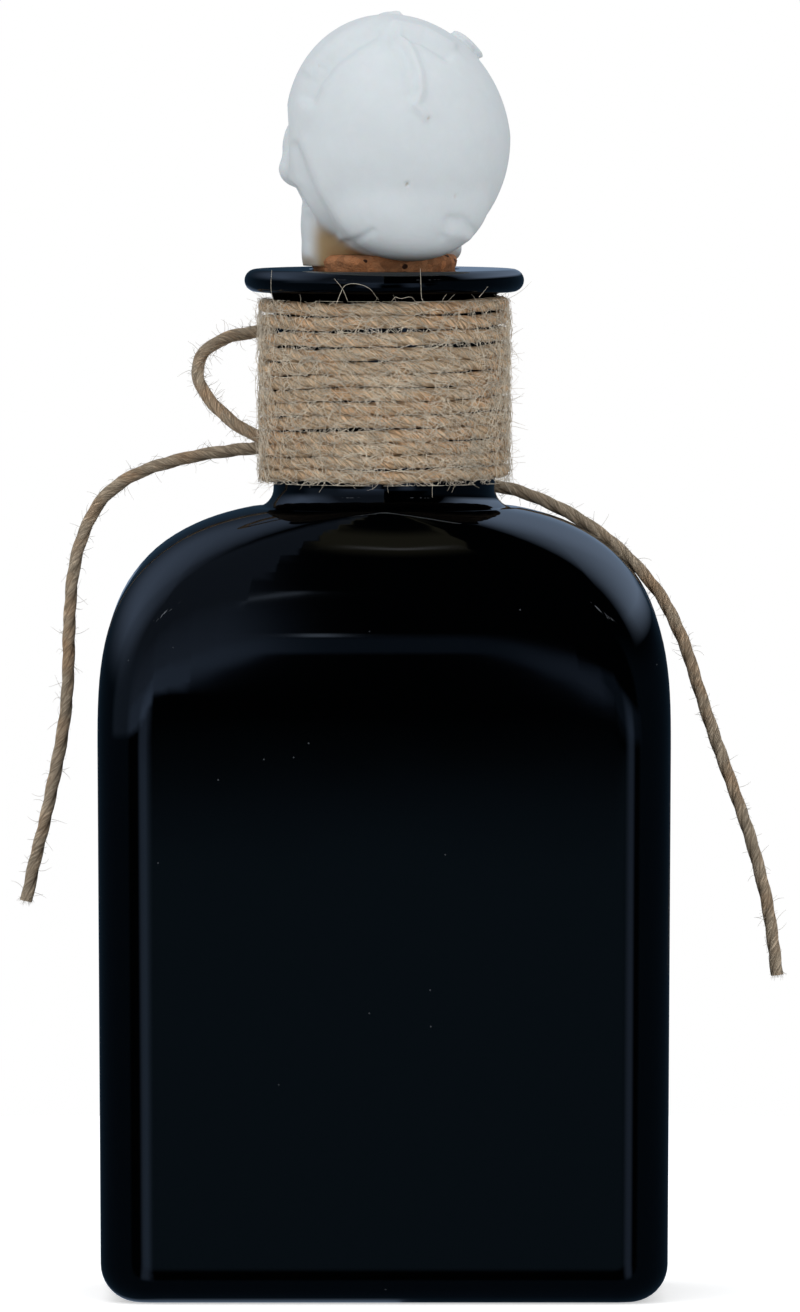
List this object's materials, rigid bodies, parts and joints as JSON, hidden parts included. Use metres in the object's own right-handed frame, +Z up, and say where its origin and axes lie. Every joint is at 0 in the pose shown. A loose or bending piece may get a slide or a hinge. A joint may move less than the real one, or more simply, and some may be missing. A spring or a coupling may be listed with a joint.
{
  "type": "stoppered poison bottle",
  "caption": "Flat-sided black glass flask with a twine-wound neck and a cork stopper that carries a cast skull.",
  "frame": {"origin": "middle of the base on the standing plane, under the axis of the neck", "axes": "+Z up along the neck, X across the wide faces, -Y out of the plain back face; the skull looks towards +Y"},
  "size_m": [0.1216, 0.058, 0.2033],
  "materials": {
    "black_glass": "opaque glossy black",
    "cork": "raw cork, crumbly at the top",
    "cast_resin": "matte waxy off-white casting",
    "jute_twine": "natural hairy jute"
  },
  "bodies": {
    "flask": {"bottle": "black_glass", "twine_wrap": "jute_twine", "twine_loop": "jute_twine", "twine_tail_left": "jute_twine", "twine_tail_right": "jute_twine"},
    "stopper": {"cork": "cork", "skull": "cast_resin"}
  },
  "joints": [
    {"name": "stopper_lift", "type": "slide", "parent": "flask", "child": "stopper", "axis": [0, 0, 1], "range_m": [0, 0.045]}
  ]
}
